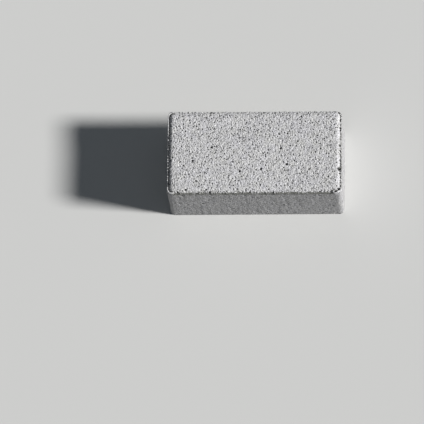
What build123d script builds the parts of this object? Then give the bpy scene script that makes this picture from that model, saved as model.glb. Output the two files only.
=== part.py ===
from build123d import *
import os

# Concrete paving stone, pressed in one piece. Millimetres, +Z up.
# The origin is the middle of the bed face, and +X runs along the length.

# Outline and thickness
length = 197.5
width = 97.5
height = 80.0
corner_radius = 5.5

# Edge of the wearing face: a narrow level rim, and inside it a rounded bevel up to the face
rim_width = 2.1
bevel_width = 4.6
bevel_drop = 2.4
least_face_corner = 0.3

# The rim lies under the face by the drop of the bevel
rim_height = height - bevel_drop

# The bevel is an arc: level where it meets the face, and steepest at its foot on the rim
bevel_radius = (bevel_width**2 + bevel_drop**2) / (2 * bevel_drop)

# The foot of the bevel turns the corners with the radius of the outline, and the flat of the face
# begins inside rim and bevel, with corners that share the foot's centres
face_inset = rim_width + bevel_width
face_corner = max(corner_radius - bevel_width, least_face_corner)

# A slab whose top edges are rounded by that radius has the bevel as its upper part
slab_inset = face_inset - bevel_radius
slab_length = length - 2 * slab_inset
slab_width = width - 2 * slab_inset
slab_corner = face_corner + bevel_radius

with BuildPart() as stone:
    # Wearing face: the rounded slab, of which only the part above the rim is kept
    with BuildSketch():
        RectangleRounded(slab_length, slab_width, slab_corner)
    extrude(amount=height)
    fillet(stone.edges().group_by(Axis.Z)[-1], radius=bevel_radius)
    split(bisect_by=Plane.XY.offset(rim_height), keep=Keep.TOP)

    # Body: upright sides from the bed to the rim
    with BuildSketch():
        RectangleRounded(length, width, corner_radius)
    extrude(amount=rim_height)

stone.part.label = "paving_stone"
os.makedirs("parts", exist_ok=True)
export_step(stone.part, "parts/paving_stone.step")
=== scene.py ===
# %% [markdown]
# # A pressed concrete paving stone
# The stone is one block of dry concrete, shaken and pressed in a steel mould. This lesson dresses it:
# the plain solid gives its exact size, and here it gets the grain, the pores, the crumbly burr and the
# drag marks that pressing and lifting out leave behind.
# Lengths are metres throughout, and MM turns millimetres into them. The stone lies on the floor at
# z = 0, with its length along X and its front side towards -Y.

# %% Load the stone's solid and measure its box
import bisect
import math
import random
from types import SimpleNamespace

import bmesh
import bpy
from mathutils import Euler, Matrix, Vector, kdtree, noise


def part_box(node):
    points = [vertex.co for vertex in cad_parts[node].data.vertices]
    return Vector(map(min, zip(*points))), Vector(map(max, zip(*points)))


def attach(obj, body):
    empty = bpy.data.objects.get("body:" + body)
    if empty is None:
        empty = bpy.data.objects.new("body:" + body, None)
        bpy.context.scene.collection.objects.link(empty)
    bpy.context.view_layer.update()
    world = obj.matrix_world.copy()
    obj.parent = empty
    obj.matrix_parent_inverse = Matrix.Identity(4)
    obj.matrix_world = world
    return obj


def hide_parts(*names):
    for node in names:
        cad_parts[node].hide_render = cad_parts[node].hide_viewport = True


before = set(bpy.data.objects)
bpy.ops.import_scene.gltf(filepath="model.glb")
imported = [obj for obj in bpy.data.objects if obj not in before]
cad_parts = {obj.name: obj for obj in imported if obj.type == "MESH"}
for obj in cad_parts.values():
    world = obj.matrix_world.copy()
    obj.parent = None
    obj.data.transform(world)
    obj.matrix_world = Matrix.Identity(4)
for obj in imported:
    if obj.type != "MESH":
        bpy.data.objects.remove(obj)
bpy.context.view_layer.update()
low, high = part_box("paving_stone")
length, width, height = high - low
half_length = length / 2
half_width = width / 2
MM = 0.001
print(f"solid: {length / MM:.1f} x {width / MM:.1f} x {height / MM:.1f} mm")

# %% [markdown]
# ## The edge of the solid
# Inside its upright sides the stone has a narrow level rim, and inside that a rounded bevel that climbs
# to the flat of the face. The dressed stone has to follow them, so their sizes are read from the solid's
# own points instead of being written here again.

# %% Measure rim, bevel and corners
solid_points = [vert.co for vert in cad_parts["paving_stone"].data.vertices]
hair = 0.002 * MM


def furthest(points, axis):
    """How far from the middle these points reach along an axis."""
    return max(abs(point[axis]) for point in points)


on_right_side = [point for point in solid_points if point.x > half_length - hair]
rim_height = max(point.z for point in on_right_side)
corner_radius = half_width - furthest(on_right_side, 1)
flat_points = [point for point in solid_points if point.z > high.z - hair]
face_inset = half_length - furthest(flat_points, 0)
flat_end = [point for point in flat_points if point.x > half_length - face_inset - hair]
face_corner = half_width - face_inset - furthest(flat_end, 1)
foot_points = [
    point
    for point in solid_points
    if abs(point.z - rim_height) < hair
    and abs(point.y) < half_width - corner_radius
    and abs(point.x) < half_length - hair
]
rim_width = half_length - furthest(foot_points, 0)
bevel_width = face_inset - rim_width
bevel_drop = high.z - rim_height
bevel_radius = (bevel_width**2 + bevel_drop**2) / (2 * bevel_drop)
bevel_sweep = math.asin(bevel_width / bevel_radius)
print(f"rim {rim_width / MM:.2f} mm, bevel {bevel_width / MM:.2f} x {bevel_drop / MM:.2f} mm")
print(f"corners: outline {corner_radius / MM:.2f} mm, flat of the face {face_corner / MM:.2f} mm")

# %% [markdown]
# ## The camera
# The picture looks almost straight down, leaning a little towards the stone's front side, from so far
# away that parallel edges stay parallel. A long lens far off does the same. An orthographic camera would
# too, but a lens lets other views frame the stone by themselves.
# The camera is built from three turns: round the vertical, down from it, and about its own axis.

# %% Camera
# The picture's side, and where it has the middle of the wearing face, in pixels from its top left corner
picture_side = 424
stone_across = 254.45
stone_down = 151.6
pixels_per_metre = 885.0
lens = 800.0
lean = math.radians(18.35)
look_from = math.radians(10.1)
roll = math.radians(-10.03)

bpy.context.scene.view_settings.view_transform = "Standard"
camera_data = bpy.data.cameras.new("camera")
camera_data.lens = lens
distance = lens / camera_data.sensor_width * picture_side / pixels_per_metre
camera_turn = (
    Matrix.Rotation(look_from, 4, "Z")
    @ Matrix.Rotation(lean, 4, "X")
    @ Matrix.Rotation(roll, 4, "Z")
)
# Where the middle of the wearing face lies, seen from the camera
seen_at = Vector((
    (stone_across - picture_side / 2) / pixels_per_metre,
    (picture_side / 2 - stone_down) / pixels_per_metre,
    -distance,
))
face_middle = Vector((0, 0, high.z))
camera = bpy.data.objects.new("camera", camera_data)
camera.matrix_world = Matrix.Translation(face_middle - camera_turn.to_3x3() @ seen_at) @ camera_turn
bpy.context.scene.collection.objects.link(camera)
bpy.context.scene.camera = camera
print(f"camera {distance:.2f} m away")

# %% [markdown]
# ## Light
# One low lamp from the right rakes across the face, because raking light is what makes grain and pores
# show. Its disc is several degrees wide, so that the shadow on the floor ends softly. The rest of the
# light is an even, slightly cool sky. Together they give a level surface an exposure of about one, so
# that a colour renders about as it is written. A picture of a real sky could light the stone as well, but
# a lamp and an even sky are set by a few numbers that can be read here.

# %% Lamp and the strength of the sky
lamp_height = math.radians(32.0)
lamp_from = math.radians(-8.0)
lamp_disc = math.radians(9.0)
lamp_colour = (1.0, 0.992, 0.980)
light_level = 0.975
lamp_share = 0.90 * light_level
sky_share = light_level - lamp_share

lamp_data = bpy.data.lights.new("lamp", "SUN")
lamp_data.energy = lamp_share * math.pi / math.sin(lamp_height)
lamp_data.angle = lamp_disc
lamp_data.color = lamp_colour
lamp = bpy.data.objects.new("lamp", lamp_data)
lamp.rotation_euler = Euler((0, math.pi / 2 - lamp_height, lamp_from))
bpy.context.scene.collection.objects.link(lamp)
print(f"lamp of strength {lamp_data.energy:.2f}, sky of strength {sky_share:.4f}")

# %% [markdown]
# ## Writing shader maths as arithmetic
# A material is a graph of small nodes. Wiring each one by hand hides the idea, so a signal is wrapped in
# a class that understands Python's own signs: writing `1 - pore * 0.5` adds the Math nodes for it.
# Every other node comes from one method, which takes its type, its settings and what feeds it.

# %% The signal class
class Signal:
    """One output of a node. Arithmetic on it adds Math nodes to the same tree.
    A signal without a socket is the empty sheet that a tree's first nodes are put on."""

    def __init__(self, tree, socket=None):
        self.tree = tree
        self.socket = socket

    def node(self, kind, settings=None, inputs=None, output=0):
        """Adds a node: its settings first, then the values or signals of its sockets."""
        made = self.tree.nodes.new("ShaderNode" + kind)
        for name, value in (settings or {}).items():
            setattr(made, name, value)
        for name, value in (inputs or {}).items():
            if isinstance(value, Signal):
                self.tree.links.new(value.socket, made.inputs[name])
            else:
                made.inputs[name].default_value = value
        return Signal(self.tree, made.outputs[output]) if made.outputs else made

    def math(self, operation, *values):
        return self.node("Math", {"operation": operation}, dict(enumerate(values)))

    def __add__(self, other):
        return self.math("ADD", self, other)

    def __sub__(self, other):
        return self.math("SUBTRACT", self, other)

    def __rsub__(self, other):
        return self.math("SUBTRACT", other, self)

    def __mul__(self, other):
        return self.math("MULTIPLY", self, other)

    __radd__ = __add__
    __rmul__ = __mul__

    def between(self, start, end):
        """0 where the signal is at start or before it, 1 at end or past it, and smooth between."""
        settings = {"interpolation_type": "SMOOTHSTEP"}
        return self.node("MapRange", settings, {"Value": self, "From Min": start, "From Max": end})

    def mix(self, first, second):
        """A colour that goes from first to second as this signal goes from 0 to 1."""
        # The Mix node has a set of sockets for each kind of value: the colours are 6 and 7, and output 2
        return self.node("Mix", {"data_type": "RGBA"}, {0: self, 6: first, 7: second}, output=2)


# %% [markdown]
# ## Sky and backdrop
# The world has two jobs here. As light it is the cool sky. To the camera, and in anything glossy, it is a
# plain pale backdrop of the floor's colour, so that no horizon shows. Light Path tells the two apart.

# %% Sky as light, backdrop colour as background
backdrop_colour = (0.63, 0.63, 0.62, 1)
sky_colour = (0.89, 1.0, 1.12, 1)

world = bpy.data.worlds.new("sky")
world.use_nodes = True
bpy.context.scene.world = world


def light_sky(tree):
    """Builds the world's nodes: the sky colour as light, and the backdrop colour to look at."""
    sheet = Signal(tree)
    tree.nodes.clear()
    path = sheet.node("LightPath")
    outlets = path.socket.node.outputs
    seen = Signal(tree, outlets["Is Camera Ray"])
    for name in ("Is Glossy Ray", "Is Transmission Ray"):
        seen = seen.math("MAXIMUM", seen, Signal(tree, outlets[name]))
    colour = seen.mix(sky_colour, backdrop_colour)
    strength = seen * (1 - sky_share) + sky_share
    glow = sheet.node("Background", inputs={"Color": colour, "Strength": strength})
    sheet.node("OutputWorld", inputs={"Surface": glow})


light_sky(world.node_tree)
print(f"sky: {len(world.node_tree.nodes)} nodes")

# %% [markdown]
# ## The floor
# A plain pale disc, wide enough that its rim is never in the picture.

# %% Floor
floor_reach = 12.0
floor_corners = 64

floor_mesh = bpy.data.meshes.new("floor")
bm = bmesh.new()
bmesh.ops.create_circle(bm, cap_ends=True, segments=floor_corners, radius=floor_reach)
bm.to_mesh(floor_mesh)
bm.free()
floor = bpy.data.objects.new("floor", floor_mesh)
bpy.context.scene.collection.objects.link(floor)

floor_paint = bpy.data.materials.new("floor_paint")
floor_paint.use_nodes = True
paint_shader = floor_paint.node_tree.nodes["Principled BSDF"]
paint_shader.inputs["Base Color"].default_value = backdrop_colour
paint_shader.inputs["Roughness"].default_value = 0.9
paint_shader.inputs["Specular IOR Level"].default_value = 0.1
floor_mesh.materials.append(floor_paint)
print(f"floor {2 * floor_reach:.0f} m wide")

# %% [markdown]
# ## The stone's outline
# From above the stone is a rectangle with small round corners. Everything on it follows that outline:
# the rim, the rounded bevel and the upright sides. So one function gives a point by how far along the
# outline it is, counted in steps, and how far inside it.
# Counting in steps, and not in metres, lets each ring of the mesh have the same number of points as the
# next, however tight its corners are.

# %% Steps along the outline
cell = 0.54 * MM

# Rings are thinned twice on the way down, so the counts are multiples of four
columns = 4 * round((length - 2 * face_inset) / (4 * cell))
rows = 4 * round((width - 2 * face_inset) / (4 * cell))
# The four sides in turn: right, back, left and front
side_steps = (rows, columns, rows, columns)
side_starts = [sum(side_steps[:side]) for side in range(4)]
steps_around = sum(side_steps)
print(f"face {columns} x {rows} cells, {steps_around} steps round it")


def blend(start, end, share):
    """What lies that share of the way from start to end."""
    return start + (end - start) * share


def rounding(inset):
    """The corner radius of the ring at that inset: even over the rim, then smaller up the bevel."""
    foot_corner = face_corner + bevel_width
    if inset < rim_width:
        return blend(corner_radius, foot_corner, inset / rim_width)
    return foot_corner - (inset - rim_width)


def outline(place, inset, radius=None):
    """The point `place` steps along the outline and `inset` inside it, and the way out from it."""
    side = bisect.bisect_right(side_starts, place) - 1
    share = (place - side_starts[side]) / side_steps[side]
    half_along, half_out = (half_width, half_length) if side % 2 == 0 else (half_length, half_width)
    radius = radius or rounding(inset)
    straight = half_along - inset - radius
    along = (2 * share - 1) * (straight + radius * math.pi / 4)
    angle = math.copysign(max(abs(along) - straight, 0) / radius, along)
    middle = Vector((half_out - inset - radius, max(-straight, min(straight, along)), 0))
    way_out = Vector((math.cos(angle), math.sin(angle), 0))
    turn_side = Matrix.Rotation(side * math.pi / 2, 3, "Z")
    return turn_side @ (middle + radius * way_out), turn_side @ way_out


# %% [markdown]
# ## The mesh of the stone
# The wearing face starts as a fine grid of cells. Its border is then extruded, ring after ring: down the
# bevel, over the rim and down the sides, all in one skin. Each point carries its place along the outline
# and its inset in layers of the mesh, so every new ring knows where to go.
# A cube with bevelled edges would be quicker, but its cells would be of very different sizes, and fine
# relief needs cells of one size.
# The sides need less detail than the face, so pairs of points are welded on the way down.
# A coarser grid closes the underside.

# %% Extruding and thinning a ring
def border(bm, verts):
    """The open edges between these points."""
    chosen = set(verts)
    return [e for e in bm.edges if e.is_boundary and e.verts[0] in chosen and e.verts[1] in chosen]


def put_ring(ring, layers, inset, level, radius=None):
    """Puts each point of a ring at its place along the outline, at that inset and level."""
    for vert in ring:
        point, _ = outline(vert[layers.place], inset, radius)
        vert.co = (point.x, point.y, level)
        vert[layers.inset] = inset


def extrude_ring(bm, ring, layers, inset, level):
    """Extrudes the open ring and puts the new one at that inset and level."""
    made = bmesh.ops.extrude_edge_only(bm, edges=border(bm, ring))["geom"]
    fresh = [part for part in made if isinstance(part, bmesh.types.BMVert)]
    put_ring(fresh, layers, inset, level)
    return fresh


def thin_ring(bm, ring, layers, gap):
    """Welds every second point of a ring whose points are `gap` steps apart."""
    by_place = {vert[layers.place]: vert for vert in ring}
    pairs = {by_place[p + gap]: by_place[p] for p in by_place if p % (2 * gap) == 0}
    bmesh.ops.weld_verts(bm, targetmap=pairs)
    return [vert for vert in ring if vert.is_valid]


# %% Grids that close the top and the underside
def flat_grid(bm, across, along, inset, level, facing):
    """A level grid whose border is the outline's rectangle at that inset. Returns its points.
    Facing is 1 for up and -1 for down."""
    stretch = Matrix.Diagonal((half_length - inset, (half_width - inset) * facing, facing, 1))
    lifted = Matrix.Translation((0, 0, level)) @ stretch
    grid = bmesh.ops.create_grid(bm, x_segments=across, y_segments=along, size=1, matrix=lifted)
    return grid["verts"]


def number_border(verts, layers, inset):
    """Gives each point of the face's grid its inset, and numbers its border along the outline."""
    near = cell / 10
    numbered = []
    for vert in verts:
        to_right = half_length - inset - vert.co.x
        to_back = half_width - inset - vert.co.y
        to_left = 2 * (half_length - inset) - to_right
        to_front = 2 * (half_width - inset) - to_back
        vert[layers.inset] = inset + min(to_right, to_back, to_left, to_front)
        across = to_left / (to_left + to_right)
        along = to_front / (to_front + to_back)
        if to_right < near and to_back > near:
            side, share = 0, along
        elif to_back < near and to_left > near:
            side, share = 1, 1 - across
        elif to_left < near and to_front > near:
            side, share = 2, 1 - along
        elif to_front < near:
            side, share = 3, across
        else:
            continue
        vert[layers.place] = side_starts[side] + round(share * side_steps[side])
        numbered.append(vert)
    return numbered


# %% Face, bevel and rim
class Layers:
    """What each point of the mesh remembers."""

    def __init__(self, bm):
        self.place = bm.verts.layers.int.new("place")
        self.inset = bm.verts.layers.float.new("inset")
        self.pore_shade = bm.verts.layers.float.new("pore_shade")
        self.dirt_and_shade = bm.verts.layers.float.new("dirt_and_shade")
        self.side = bm.verts.layers.float.new("side")


bevel_rings = 7
rim_rings = 7

bm = bmesh.new()
layers = Layers(bm)
face_verts = flat_grid(bm, columns, rows, face_inset, high.z, 1)
ring = number_border(face_verts, layers, face_inset)
put_ring(ring, layers, face_inset, high.z)
for number in range(1, bevel_rings + 1):
    sweep = bevel_sweep * number / bevel_rings
    inset = face_inset - bevel_radius * math.sin(sweep)
    level = high.z - bevel_radius * (1 - math.cos(sweep))
    ring = extrude_ring(bm, ring, layers, inset, level)
for number in range(1, rim_rings + 1):
    ring = extrude_ring(bm, ring, layers, rim_width * (1 - number / rim_rings), rim_height)
print(f"top: {len(bm.verts)} points")

# %% Sides and underside
# Two rings close under the rim keep its outer edge crisp
arris_levels = [rim_height - drop * MM for drop in (0.25, 0.8)]
side_cell = 1.9 * MM
underside_inset = corner_radius
same_place = cell / 100

for level in arris_levels:
    ring = extrude_ring(bm, ring, layers, 0, level)
side_rings = round(arris_levels[-1] / side_cell)
for number in range(1, side_rings + 1):
    level = arris_levels[-1] * (1 - number / side_rings)
    ring = extrude_ring(bm, ring, layers, 0, level)
    if number == 1:
        ring = thin_ring(bm, ring, layers, 1)
ring = extrude_ring(bm, ring, layers, underside_inset, low.z)
ring = thin_ring(bm, ring, layers, 2)
# This ring lies where the corners' centres are, so it has sharp corners, as the grid inside it has
put_ring(ring, layers, underside_inset, low.z, radius=hair)
flat_grid(bm, columns // 4, rows // 4, underside_inset, low.z, -1)
bmesh.ops.remove_doubles(bm, verts=bm.verts, dist=same_place)
bmesh.ops.recalc_face_normals(bm, faces=bm.faces)
bm.normal_update()
open_edges = sum(not edge.is_manifold for edge in bm.edges)
triangles = sum(len(face.verts) - 2 for face in bm.faces)
print(f"skin: {len(bm.verts)} points, {triangles} triangles, {open_edges} open edges")

# %% [markdown]
# ## Grain
# Dry concrete is sand and cement shaken tight. Its pressed face is a field of sand grains with small
# hollows between them. The relief is a sum: a dome for each grain, from Voronoi cells, and finer and
# wider noise over them. Each point moves straight out or in by that sum.
# A displacement texture could do as much. A sum in Python was chosen because the burr and the pores then
# work on the same points. Noise has the same value at a place every time, so each run gives this stone.

# %% Relief of the pressed face
grain_size = 1.6 * MM
grain_height = 0.10 * MM
# Near the mean of the square below, so that the domes hardly raise or lower the face
mean_square = 0.35
sand_size = 1.25 * MM
sand_height = 0.66 * MM
# The lumps of sand are this much longer along the stone than across it
sand_length = 1.4
lump_size = 5 * MM
lump_height = 0.04 * MM
swell_size = 24 * MM
swell_height = 0.12 * MM

# Noise has faint lines along its own axes, so it is read through a turn that hides them
askew = Euler((0.5, 0.7, 0.9)).to_matrix()


def ripple(point, size, shift=0.0):
    """Smooth noise from about -1 to 1, in lumps of that size. Another shift gives other lumps."""
    return noise.noise(askew @ point / size + Vector((shift, 0, 0)))


def face_relief(point):
    """How far the pressed face stands out or in at a point."""
    nearest = noise.voronoi(askew @ point / grain_size)[0][0]
    grain = grain_height * (mean_square - nearest * nearest)
    sand = sand_height * ripple(Vector((point.x, sand_length * point.y, point.z)), sand_size)
    lump = lump_height * ripple(point, lump_size)
    swell = swell_height * ripple(point, swell_size)
    return grain + sand + lump + swell


def reach_of(relief):
    """The lowest and the highest value of a relief, at every fiftieth point of the skin."""
    heights = [relief(vert.co) / MM for vert in list(bm.verts)[::50]]
    return f"{min(heights):.2f} to {max(heights):.2f} mm"


print("relief of the face:", reach_of(face_relief))

# %% [markdown]
# ## Sides and underside
# The sides slid up along steel when the stone was lifted out, and grains dragged up with them. So their
# relief is noise that hardly changes with height, over a grain coarser than the face's.
# The underside took the grain of the board it stood on, which is noise that hardly changes lengthwise.

# %% Relief of the sides and the underside
drag_size = 2.2 * MM
drag_height = 0.15 * MM
rough_size = 2.6 * MM
rough_height = 0.35 * MM
side_lump_size = 9 * MM
side_lump_height = 0.15 * MM
board_size = 5 * MM
board_height = 0.08 * MM
bed_size = 4 * MM
bed_height = 0.12 * MM
# How quickly noise changes along a drag mark, and along the board's grain, as a share of across them
drag_change = 0.06
board_change = 0.08


def side_relief(point):
    """Drag marks run up the sides, over a coarser grain."""
    drag = drag_height * ripple(Vector((point.x, point.y, point.z * drag_change)), drag_size)
    rough = rough_height * ripple(point, rough_size)
    lump = side_lump_height * ripple(point, side_lump_size)
    return drag + rough + lump


def bed_relief(point):
    """The underside only has hollows, because it stands on its highest points."""
    board = board_height * ripple(Vector((point.x * board_change, point.y, 0)), board_size)
    rough = bed_height * ripple(point, bed_size)
    return -abs(board + rough)


print("relief of the sides:", reach_of(side_relief))
print("relief of the underside:", reach_of(bed_relief))

# %% [markdown]
# ## The burr
# The stamp that presses the face fits loosely in the mould, and a little concrete squeezes up all round
# it. This burr is a thin crest along the outer edge of the rim, and between it and the foot of the bevel
# the stamp leaves a groove with deeper pockets in it. The crest is brittle. In places it stands, and
# elsewhere it has crumbled away and taken some of the edge with it, most along the two long sides and at
# the back of the right end. On the long sides the crumbs have filled the groove too.
# A swept profile would make a burr that is even all round. Here one number along the outline, how whole
# the crest is, sets the crest's height and the edge's bite, and both change from place to place.

# %% Two curves that blend
def hump(value, middle, reach):
    """1 in the middle, and falling off smoothly on both sides, to about a third at its reach."""
    return math.exp(-(((value - middle) / reach) ** 2))


def smooth_share(value, start, end):
    """0 at start or before it, 1 at end or past it, and smooth between. The end may be the lower one."""
    share = max(0, min(1, (value - start) / (end - start)))
    return share * share * (3 - 2 * share)


# %% Where the crest stands
crest_width = 1.00 * MM
width_size = 3.1 * MM
width_change = 0.6
crest_height = 0.70 * MM
height_size = 1.3 * MM
height_change = 0.5
# Short bits of the crest stand or are gone by luck, and long stretches of it have more luck or less
bit_size = 1.6 * MM
stretch_size = 11 * MM
stretch_share = 0.5
gone_at = -0.15
whole_at = 0.12
# What wear takes from that luck: along the two long sides, at the left end, and at the right end, where
# it grows towards the back
long_wear = 0.45
left_wear = 0.20
right_wear = 0.35
right_wear_from = -15 * MM
right_wear_to = 15 * MM

# Where the crest has kept best, in millimetres: its middle from the stone's middle, its reach, and its
# height, its width and how far it bulges out there
kept_crests = (
    (94.5, -47.5, 6.0, 1.3, 2.0, 0.8),
    (-98.0, 34.0, 14.0, 0.7, 1.0, -0.4),
    (-95.5, 47.5, 5.0, 0.9, 1.0, -0.1),
    (-96.0, -46.0, 5.0, 0.7, 1.2, 0.0),
)
# As shares of its reach: up to where it is all there, and where it ends
kept_to = 0.7
kept_ends = 1.1


def crest(point, way_out):
    """The crest at a point of the outline: how whole, high, wide, bulging and clean it is."""
    to_back = smooth_share(point.y, right_wear_from, right_wear_to) * max(0, way_out.x)
    worn = long_wear * abs(way_out.y) + left_wear * max(0, -way_out.x) + right_wear * to_back
    luck = ripple(point, bit_size) + stretch_share * ripple(point, stretch_size)
    whole = smooth_share(luck - worn, gone_at, whole_at)
    rise = crest_height
    spread = crest_width * (1 + width_change * ripple(point, width_size, shift=30))
    bulge = clean = 0
    for across, along, reach, kept_height, kept_width, kept_bulge in kept_crests:
        away = math.hypot(point.x / MM - across, point.y / MM - along)
        kept = 1 - smooth_share(away, kept_to * reach, kept_ends * reach)
        rise = blend(rise, kept_height * MM, kept)
        spread = blend(spread, kept_width * MM, kept)
        bulge += kept_bulge * MM * kept
        clean = max(clean, kept)
    rise *= 1 + height_change * ripple(point, height_size, shift=40)
    whole = max(whole, clean)
    return SimpleNamespace(
        point=point, way_out=way_out, whole=whole, rise=rise, spread=spread, bulge=bulge, clean=clean
    )


crest_all_round = [crest(*outline(step, 0)) for step in range(steps_around)]
whole_share = sum(edge.whole for edge in crest_all_round) / steps_around
print(f"the crest is whole along {whole_share:.0%} of the outline")

# %% Crest, groove and crumbs of the rim
# Shares of the crest's width: its middle, its reach to each side, and where its crumbling runs out
crest_middle = 0.55
crest_reach = 0.45
crumbling_from = 0.9
crumbling_to = 1.4
crumbled_depth = 1.10 * MM
# On the long sides crumbs lie where the crest was, and fill the foot of the bevel
crumbs_left = 0.6
fill_height = 0.90 * MM
fill_reach = 0.75 * rim_width
groove_width = 1.10 * MM
groove_depth = 0.40 * MM
pocket_size = 2.0 * MM
pocket_depth = 1.50 * MM
pocket_full = 0.30
deepest_groove = 1.60 * MM
# How much shallower the groove is on the long sides and at the right end, and how much deeper at the left
long_shallower = 0.8
right_shallower = 0.6
left_deeper = 1.0


def groove_share(edge, inset):
    """How deep in the groove an inset is, beside the crest there."""
    return hump(inset, edge.spread + groove_width / 2, groove_width / 2)


def groove(edge, inset):
    """How deep the groove is at an inset."""
    pocket = smooth_share(ripple(edge.point, pocket_size, shift=50), 0, pocket_full)
    pocket = max(edge.clean, pocket)
    depth = (groove_depth + pocket_depth * pocket) * groove_share(edge, inset)
    shallower = long_shallower * edge.way_out.y**2
    shallower += right_shallower * max(0, edge.way_out.x) * (1 - edge.clean)
    shallower -= left_deeper * max(0, -edge.way_out.x)
    return min(depth * (1 - shallower), deepest_groove)


def rim_relief(edge, inset):
    """How far the rim stands up at an inset."""
    profile = hump(inset, crest_middle * edge.spread, crest_reach * edge.spread)
    standing = edge.rise * edge.whole * profile
    under_crest = 1 - smooth_share(inset, crumbling_from * edge.spread, crumbling_to * edge.spread)
    crumbled = crumbled_depth * (1 - edge.whole) * under_crest
    filled = fill_height * hump(inset, rim_width, fill_reach) + crumbs_left * crumbled
    return standing - crumbled + filled * edge.way_out.y**2 - groove(edge, inset)


deepest = max(groove(edge, edge.spread + groove_width / 2) for edge in crest_all_round)
print(f"groove up to {deepest / MM:.2f} mm deep")

# %% [markdown]
# ## Dirt and painted shade
# The groove and the crumbled rim of the right end are painted darker as shade. The crumbled rim of the
# long sides is painted darker as dirt and shade, and the darkening runs a little way down the sides. The
# best kept bits of crest stay clean.
# It could be painted on by hand. Worked out from the crest and the groove, it follows every crumb.

# %% Dirt and painted shade on the rim
patch_size = 3 * MM
patch_level = 0.85
patch_change = 0.6
darkening_runs_out = rim_height - 9 * MM
darkening_is_full = rim_height - 3 * MM
# How dark the rim is painted: dirt and painted shade on the long sides, painted shade at the right end
# and in the groove
front_dirt_and_shade = 0.9
back_dirt_and_shade = 0.3
right_painted_shade = 0.55
groove_painted_shade = 0.85
# On the long sides the groove is filled, and holds this much less
long_less = 0.7
# Where a corner's way out begins to belong to a long side, and belongs to it fully
corner_from = 0.5
corner_to = 0.95
rim_darkening_full = 0.1 * rim_width
rim_darkening_ends = 0.6 * rim_width


def dirt_and_shade_share(edge, point, inset):
    """How dark a point of the rim or of the sides just under it is painted, as dirt and painted shade."""
    long_side = smooth_share(abs(edge.way_out.y), corner_from, corner_to) * (1 - edge.clean)
    right_end = max(0, edge.way_out.x) * (1 - edge.clean)
    to_front = (1 - edge.way_out.y) / 2
    on_long_side = long_side * blend(back_dirt_and_shade, front_dirt_and_shade, to_front)
    on_rim = 1 - smooth_share(inset, rim_darkening_full, rim_darkening_ends)
    in_groove = groove_share(edge, inset) * (1 - long_less * long_side)
    near_top = smooth_share(point.z, darkening_runs_out, darkening_is_full)
    patch = patch_level + patch_change * ripple(point, patch_size)
    rim_darkening = max(on_long_side, right_painted_shade * right_end)
    return patch * near_top * max(rim_darkening * on_rim, groove_painted_shade * in_groove)


on_top_edge = Vector((0, 0, rim_height))
edge_darkening = sum(dirt_and_shade_share(edge, edge.point + on_top_edge, 0) for edge in crest_all_round) / steps_around
print(f"dirt along the edge: {edge_darkening:.2f} on average")

# %% [markdown]
# ## Relief on the skin
# Every point now moves by the relief of the part it lies on. From the face over the rim to the sides the
# kinds of relief fade into each other, so that no line shows where one ends. The skin stays closed,
# because its points only move, and no point is added or taken out.

# %% Push the relief into the skin
rim_reach = 2 * rim_width
rim_fades = 1.4 * rim_width
face_begins = 0.7 * rim_width
face_is_full = 1.5 * rim_width
bite_depth = 0.90 * MM
long_bite_less = 0.4
edge_height = 3 * MM
# The sides' finish begins between these depths under the rim
side_from = 0.2 * MM
side_to = 1.2 * MM
# How high the face's grain is on the rim, as a share, and how much higher on the long sides
rim_grain = 0.6
long_grain = 0.6


def lift_edge(vert):
    """How far a point of the rim or the sides moves. Notes its dirt and painted shade too."""
    point, inset = vert.co, vert[layers.inset]
    edge = crest(*outline(vert[layers.place], 0))
    vert[layers.dirt_and_shade] = dirt_and_shade_share(edge, point, inset)
    near_top = smooth_share(point.z, rim_height - edge_height, rim_height)
    on_long_side = abs(edge.way_out.y)
    bitten = bite_depth * (1 - edge.whole) * (1 - long_bite_less * on_long_side)
    bite = (bitten - edge.bulge) * max(0, 1 - inset / rim_reach)
    up = rim_relief(edge, inset) * (1 - smooth_share(inset, rim_fades, rim_reach))
    if inset == 0:
        return edge.way_out * (side_relief(point) - near_top * bite) + Vector((0, 0, near_top * up))
    on_face = smooth_share(inset, face_begins, face_is_full)
    coarse = blend(rim_grain + long_grain * on_long_side, 1, on_face)
    grain = vert.normal * coarse * face_relief(point)
    return grain - edge.way_out * bite + Vector((0, 0, up))


def lift(vert):
    """How far one point moves, and which way. Notes how much it belongs to the sides too."""
    height_there = vert.co.z
    vert[layers.side] = smooth_share(height_there, rim_height - side_from, rim_height - side_to)
    if height_there <= low.z + hair:
        return Vector((0, 0, -bed_relief(vert.co)))
    if vert[layers.inset] > rim_reach:
        return vert.normal * face_relief(vert.co)
    return lift_edge(vert)


moves = [lift(vert) for vert in bm.verts]
for vert, move in zip(bm.verts, moves):
    vert.co += move
print(f"relief up to {max(move.length for move in moves) / MM:.2f} mm")

# %% [markdown]
# ## Pores
# Where the mix did not close there are pores. Each is pushed straight in from the surface, deepest at its
# middle. Cutting them out with small balls would need a finer mesh and could tear the skin.
# Most lie at random, and the few large ones stand at the places where this stone has them.
# A layer of the mesh remembers where the pores are, so that the material can paint shade into them.

# %% Find points of the skin and push them in
top_depth = 5 * MM
# A pore is level out to this share of its radius, and its edge wanders in and out
pore_bottom = 0.4
pore_edge_size = 0.9 * MM
pore_edge_change = 0.5

bm.normal_update()
bm.verts.ensure_lookup_table()
finder = kdtree.KDTree(len(bm.verts))
for vert in bm.verts:
    # Face, bevel and rim are found as if they were all level with the face, as the stamp sees them
    on_top = vert[layers.inset] > 0 and vert.co.z > rim_height - top_depth
    finder.insert((vert.co.x, vert.co.y, high.z) if on_top else vert.co, vert.index)
finder.balance()


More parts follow.
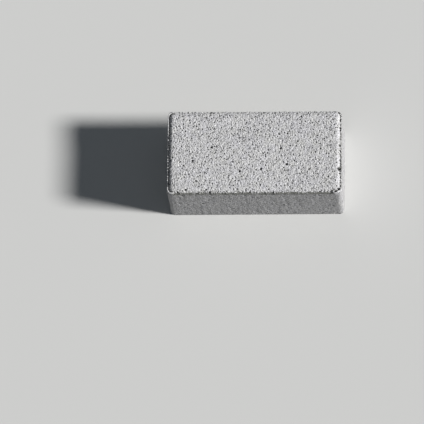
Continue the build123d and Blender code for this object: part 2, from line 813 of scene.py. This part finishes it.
def push_pore(middle, radius, depth, painted_shade=1):
    """Pushes the skin round a spot straight in, and notes how much shade is painted into the hole."""
    found = finder.find_range(middle, radius)
    if not found:
        return
    inward = -sum((bm.verts[index].normal for _, index, _ in found), Vector()).normalized()
    for _, index, away in found:
        vert = bm.verts[index]
        away *= 1 + pore_edge_change * ripple(vert.co, pore_edge_size)
        share = smooth_share(away, radius, pore_bottom * radius)
        vert.co += inward * depth * share
        vert[layers.pore_shade] = max(vert[layers.pore_shade], share * painted_shade)


# %% Small pores all over the face
# One in each square of a loose grid, so that they neither crowd nor leave bare patches by chance alone
chance = random.Random(7)
pore_spacing = 2.4 * MM
crowd_size = 8 * MM
pored_length = length - 2 * rim_width
pored_width = width - 2 * rim_width
pores_across = round(pored_length / pore_spacing)
pores_along = round(pored_width / pore_spacing)

for number in range(pores_across * pores_along):
    row, column = divmod(number, pores_across)
    # Its middle keeps a tenth of the square off the square's border
    across = ((column + chance.uniform(0.1, 0.9)) / pores_across - 0.5) * pored_length
    along = ((row + chance.uniform(0.1, 0.9)) / pores_along - 0.5) * pored_width
    # The higher this power, the fewer pores come out large
    rarity = 2 - ripple(Vector((across, along, 0)), crowd_size)
    size = chance.random() ** rarity
    radius = blend(0.5, 1.0, size) * MM
    depth = radius * blend(0.4, 1.0, size)
    # The last number is how much shade is painted into the hole
    push_pore(Vector((across, along, high.z)), radius, depth, blend(0.25, 1.0, size))
print(f"{pores_across * pores_along} small pores")

# %% Grains that have broken out along the rim, most at the front and at the right end
loose_grains = 600
broken_out = 0
# The share of them that has broken out: at the back and the left end, and at the front and the right end
few = 0.2
many = 0.6

for number in range(loose_grains):
    place = (number + chance.random()) * steps_around / loose_grains
    point, way_out = outline(place, chance.uniform(0.35, 1.05) * rim_width)
    size = chance.random()
    if size < blend(few, many, max(-way_out.y, way_out.x)) - crest(point, way_out).clean:
        radius = blend(0.5, 0.75, size) * MM
        depth = 1.5 * radius
        # The last number is how much shade is painted into the hole
        push_pore(Vector((point.x, point.y, high.z)), radius, depth, blend(0.5, 1.0, size))
        broken_out += 1
print(f"{broken_out} grains broken out")

# %% The pores that stand out on this stone
# Place from the stone's middle, and width, in millimetres: on the face and its bevel, at the right end,
# and along the back and the front
large_pores = (
    (-70.3, -10.1, 2.2),
    (29.4, 4.0, 2.2),
    (7.2, -20.3, 2.2),
    (36.4, -15.0, 2.4),
    (-48.8, 5.7, 2.4),
    (61.7, -21.2, 1.7),
    (-16.7, -22.8, 2.4),
    (-77.9, -44.7, 2.2),
    (-54.5, -44.8, 1.8),
    (52.4, 41.9, 1.6),
    (96.2, -20.7, 3.8),
    (96.8, -25.9, 2.0),
    (91.8, -47.4, 2.6),
    (95.7, -44.6, 3.0),
    (95.4, 46.7, 2.0),
    (97.0, 37.2, 1.5),
    (97.1, 28.2, 2.2),
    (97.2, 25.4, 1.6),
    (96.5, 7.2, 2.2),
    (97.3, 1.4, 1.8),
    (97.3, -3.6, 1.3),
    (-79.8, 47.8, 1.6),
    (-50.0, 47.6, 2.2),
    (-47.0, 46.8, 1.6),
    (9.7, 47.2, 1.3),
    (-86.7, -47.3, 1.6),
    (-50.5, -47.5, 1.8),
    (-5.3, -47.8, 1.6),
)
large_pore_depth = 1.6 * MM
# The slope round a pore reaches half as far out again as the pore's own edge
slope_reach = 1.5

for across, along, pore_width in large_pores:
    reach = slope_reach * pore_width / 2 * MM
    # The large pores get the full painted shade
    push_pore(Vector((across * MM, along * MM, high.z)), reach, large_pore_depth)
print(f"{len(large_pores)} large pores")

# %% Pores on the sides
side_pores = 90
# How much shade is painted into the pores on the sides
side_pore_shade = 0.5

for _ in range(side_pores):
    place = chance.uniform(0, steps_around)
    point, _ = outline(place, 0)
    point.z = chance.uniform(0, rim_height)
    radius = chance.uniform(1.3, 2.2) * MM
    push_pore(point, radius, radius * chance.uniform(0.3, 0.6), side_pore_shade)
print(f"{side_pores} pores on the sides")

# %% [markdown]
# ## The finished mesh
# A square cell that is no longer flat has to be cut into two triangles. Left to itself, Blender cuts
# nearly all along one diagonal, and under this lamp the grain then looked brushed that way. Cut along the
# other diagonal, from back left to front right, it looks even.
# The extruding operator makes the same faces at each run, but lists them in another order each time. So
# the triangles are sorted by their points, and are then listed alike every time.

# %% Cut the cells, and list the triangles in a set order
bmesh.ops.triangulate(bm, faces=bm.faces, quad_method="ALTERNATE", ngon_method="BEAUTY")
bm.verts.index_update()


def points_of(face):
    """The numbers of a face's points, which say where it comes in the order."""
    return sorted(vert.index for vert in face.verts)


for number, face in enumerate(sorted(bm.faces, key=points_of)):
    face.index = number
bm.faces.sort()

# %% Make the stone's object
stone_mesh = bpy.data.meshes.new("stone")
bm.to_mesh(stone_mesh)
bm.free()
stone_mesh.shade_smooth()
stone = bpy.data.objects.new("stone", stone_mesh)
bpy.context.scene.collection.objects.link(stone)
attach(stone, "root")
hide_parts("paving_stone")
print(f"stone: {len(stone_mesh.vertices)} points, {len(stone_mesh.polygons)} triangles")

# %% [markdown]
# ## The concrete
# The shade inside the pores and pinholes is painted into the colour as darkening.
# Concrete is a grey paste with grains of sand in it, some lighter and some darker. Between the grains are
# pinholes too small for the mesh, on the sides more and larger ones than on the pressed face.
# A picture of concrete wrapped round the block would repeat and show seams. Noise does neither. So every
# layer here is a signal from 0 to 1, read at the object's own coordinates, which are metres. The colour
# and the relief are worked out from these layers.

# %% Places, layers of the mesh and noise as signals
concrete = bpy.data.materials.new("concrete")
concrete.use_nodes = True
sheet = Signal(concrete.node_tree)
position = sheet.node("TexCoord", output="Object")
wander_size = 1.1 * MM
wander_reach = 0.7 * MM

# Places bent by noise, so that no hole is round
wander = sheet.node("TexNoise", inputs={"Vector": position, "Scale": 1 / wander_size}, output="Color")
bend = {0: wander, 1: (wander_reach, wander_reach, wander_reach), 2: position}
bent = sheet.node("VectorMath", {"operation": "MULTIPLY_ADD"}, bend)


def attribute(name):
    """A layer of the mesh as a signal."""
    return sheet.node("Attribute", {"attribute_name": name}, output="Fac")


def noise_at(size, detail=0.0, at=position):
    """Noise from about 0 to 1, in lumps of that size. Detail adds finer noise to it."""
    return sheet.node("TexNoise", inputs={"Vector": at, "Scale": 1 / size, "Detail": detail})


def cell_luck(cells):
    """A random number for each Voronoi cell. Its colour alone would betray where its point lies."""
    colour = sheet.node("TexVoronoi", inputs=cells, output="Color")
    return sheet.node("TexWhiteNoise", inputs={"Vector": colour})


def holes(size, least, most):
    """Holes in cells of that size. Their radii vary from least to most, as shares of a cell, and a
    cell whose radius comes out under zero has none."""
    no_hole = 0.01
    bottom = 0.6
    cells = {"Vector": bent, "Scale": 1 / size}
    away = sheet.node("TexVoronoi", inputs=cells)
    radius = sheet.math("MAXIMUM", least + (most - least) * cell_luck(cells), no_hole)
    return 1 - away.between(radius * bottom, radius)


# %% Pores, pinholes and drag marks
on_side = attribute("side")
pore_shade = attribute("pore_shade").between(0.15, 0.7)
pinhole = holes(size=2.0 * MM, least=-0.10, most=0.38)
side_hole = holes(size=3.6 * MM, least=-0.40, most=0.38) * on_side
along_drag = sheet.node("VectorMath", {"operation": "MULTIPLY"}, {0: position, 1: (1, 1, drag_change)})
drag_marks = noise_at(1.0 * MM, detail=2.0, at=along_drag) * on_side

# %% The colour of the concrete
sand_shade = cell_luck({"Vector": position, "Scale": 1 / (0.9 * MM)})
mottle = 0.6 * noise_at(9 * MM, detail=3.0) + 0.4 * noise_at(35 * MM, detail=2.0)
tint = noise_at(7 * MM, detail=1.0)

paste = 0.548
shade = paste * blend(0.65, 1.35, sand_shade) * blend(0.86, 1.14, mottle)
# Painted shade: how much darker the inside of each kind of hole is painted than the face, and how much
# darker the sides are painted, which keeps the lamp-lit end from glaring
for mask, darker in ((pore_shade, 0.92), (pinhole, 0.85), (side_hole, 0.7), (on_side, 0.32)):
    shade = shade * (1 - darker * mask)
blue = shade * (0.963 + 0.10 * tint)
clean_colour = sheet.node("CombineColor", inputs={"Red": shade * 1.006, "Green": shade, "Blue": blue})

# Dirt and painted shade share one dark colour
dirt_and_shade_tone = 0.04 + 0.13 * sand_shade + 0.14 * noise_at(2.5 * MM, detail=2.0)
dirt_and_shade_parts = {"Red": dirt_and_shade_tone, "Green": dirt_and_shade_tone * 1.01, "Blue": dirt_and_shade_tone * 0.93}
dirt_and_shade_colour = sheet.node("CombineColor", inputs=dirt_and_shade_parts)
# Noise breaks the dirt and painted shade up into specks
dirt_and_shade = (attribute("dirt_and_shade") + 1.8 * noise_at(1.1 * MM, detail=1.0) - 0.9).between(0.25, 0.75)
colour = dirt_and_shade.mix(clean_colour, dirt_and_shade_colour)

# %% Its relief and its finish
# The bump's distance is one millimetre, so its heights are written in millimetres
grit = noise_at(0.6 * MM, detail=3.0)
side_grit = noise_at(2.0 * MM, detail=4.0) * on_side
bump_height = 0.25 * grit - 0.3 * pinhole - 0.8 * side_hole + 0.25 * drag_marks + 0.6 * side_grit
bump = sheet.node("Bump", inputs={"Height": bump_height, "Distance": 1 * MM, "Strength": 1.0})
roughness = blend(0.80, 0.95, sand_shade)
shader = concrete.node_tree.nodes["Principled BSDF"]
shader.inputs["Specular IOR Level"].default_value = 0.25
for name, signal in (("Base Color", colour), ("Roughness", roughness), ("Normal", bump)):
    concrete.node_tree.links.new(signal.socket, shader.inputs[name])
stone_mesh.materials.append(concrete)
print(f"concrete: {len(concrete.node_tree.nodes)} nodes")
